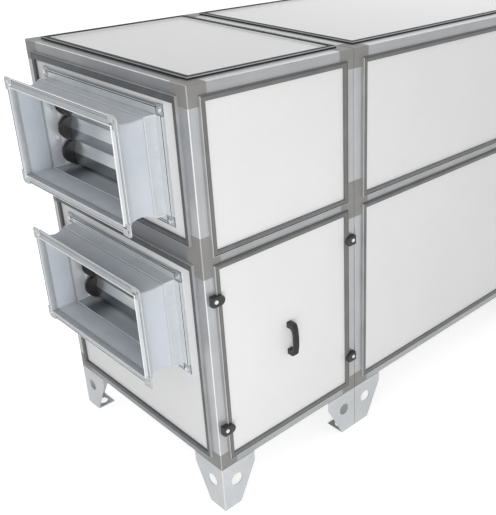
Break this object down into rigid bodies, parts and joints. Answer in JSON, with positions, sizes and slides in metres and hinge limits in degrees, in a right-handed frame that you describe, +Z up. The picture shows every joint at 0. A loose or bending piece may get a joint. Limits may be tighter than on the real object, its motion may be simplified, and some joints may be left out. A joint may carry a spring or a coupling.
{
  "type": "air handling unit",
  "caption": "Two-tier air handling unit: aluminium profile frame, white sandwich panels, sheet feet, and flexible duct connectors with geared dampers at both ends.",
  "frame": {"origin": "on the floor, midway between the four outer anchor holes, under the middle of the casing", "axes": "+X along the casing towards the right end, +Y from the service side to the back, +Z up"},
  "size_m": [2.864, 0.954, 1.487],
  "materials": {
    "frame_aluminium": "mill-finish extruded profile, satin",
    "corner_plastic": "moulded warm grey plastic",
    "seal_foam": "closed-cell foam strip",
    "galvanised_steel": "zinc-coated sheet",
    "panel_paint": "white coil-coated sheet, low gloss",
    "trim_plastic": "dark grey ribbed plastic trim",
    "black_plastic": "black moulded plastic",
    "canvas": "coated pale grey duct canvas",
    "blade_aluminium": "extruded blade, satin"
  },
  "bodies": {
    "casing": {"left_frame": "frame_aluminium", "middle_frame": "frame_aluminium", "right_frame": "frame_aluminium", "corner_blocks": "corner_plastic", "module_seals": "seal_foam", "feet": "galvanised_steel", "left_upper_front_panel": "panel_paint", "left_service_panel": "panel_paint", "middle_front_panels": "panel_paint", "right_front_panels": "panel_paint", "back_panels": "panel_paint", "top_panels": "panel_paint", "floor_panels": "panel_paint", "tier_floors": "panel_paint", "left_end_panels": "panel_paint", "right_end_panels": "panel_paint", "panel_trims": "trim_plastic", "service_handles": "black_plastic", "panel_clamps": "black_plastic", "left_upper_collar": "galvanised_steel", "left_lower_collar": "galvanised_steel", "right_collars": "galvanised_steel", "left_upper_sleeve": "canvas", "left_lower_sleeve": "canvas", "right_sleeves": "canvas", "left_upper_flange": "galvanised_steel", "left_lower_flange": "galvanised_steel", "right_flanges": "galvanised_steel", "upper_damper_frame": "galvanised_steel", "lower_damper_frame": "galvanised_steel", "right_damper_frames": "galvanised_steel", "right_blades": "blade_aluminium", "right_gears": "black_plastic"},
    "upper_low_blade": {"upper_blade_low": "blade_aluminium", "upper_gear_low": "black_plastic"},
    "upper_middle_blade": {"upper_blade_middle": "blade_aluminium", "upper_gear_middle": "black_plastic"},
    "upper_high_blade": {"upper_blade_high": "blade_aluminium", "upper_gear_high": "black_plastic"},
    "lower_low_blade": {"lower_blade_low": "blade_aluminium", "lower_gear_low": "black_plastic"},
    "lower_middle_blade": {"lower_blade_middle": "blade_aluminium", "lower_gear_middle": "black_plastic"},
    "lower_high_blade": {"lower_blade_high": "blade_aluminium", "lower_gear_high": "black_plastic"}
  },
  "joints": [
    {"name": "upper_low_turn", "type": "hinge", "parent": "casing", "child": "upper_low_blade", "pos_m": [-1.258, 0, 1.1201], "axis": [0, -1, 0], "range_deg": [0, 90]},
    {"name": "upper_middle_turn", "type": "hinge", "parent": "casing", "child": "upper_middle_blade", "pos_m": [-1.258, 0, 1.2041], "axis": [0, 1, 0], "range_deg": [0, 90]},
    {"name": "upper_high_turn", "type": "hinge", "parent": "casing", "child": "upper_high_blade", "pos_m": [-1.258, 0, 1.2881], "axis": [0, -1, 0], "range_deg": [0, 90]},
    {"name": "lower_low_turn", "type": "hinge", "parent": "casing", "child": "lower_low_blade", "pos_m": [-1.258, 0, 0.5991], "axis": [0, -1, 0], "range_deg": [0, 90]},
    {"name": "lower_middle_turn", "type": "hinge", "parent": "casing", "child": "lower_middle_blade", "pos_m": [-1.258, 0, 0.6831], "axis": [0, 1, 0], "range_deg": [0, 90]},
    {"name": "lower_high_turn", "type": "hinge", "parent": "casing", "child": "lower_high_blade", "pos_m": [-1.258, 0, 0.7671], "axis": [0, -1, 0], "range_deg": [0, 90]}
  ],
  "couplings": [
    {"joint": "upper_low_turn", "follows": "upper_middle_turn", "ratio": 1},
    {"joint": "upper_high_turn", "follows": "upper_middle_turn", "ratio": 1},
    {"joint": "lower_low_turn", "follows": "lower_middle_turn", "ratio": 1},
    {"joint": "lower_high_turn", "follows": "lower_middle_turn", "ratio": 1}
  ]
}
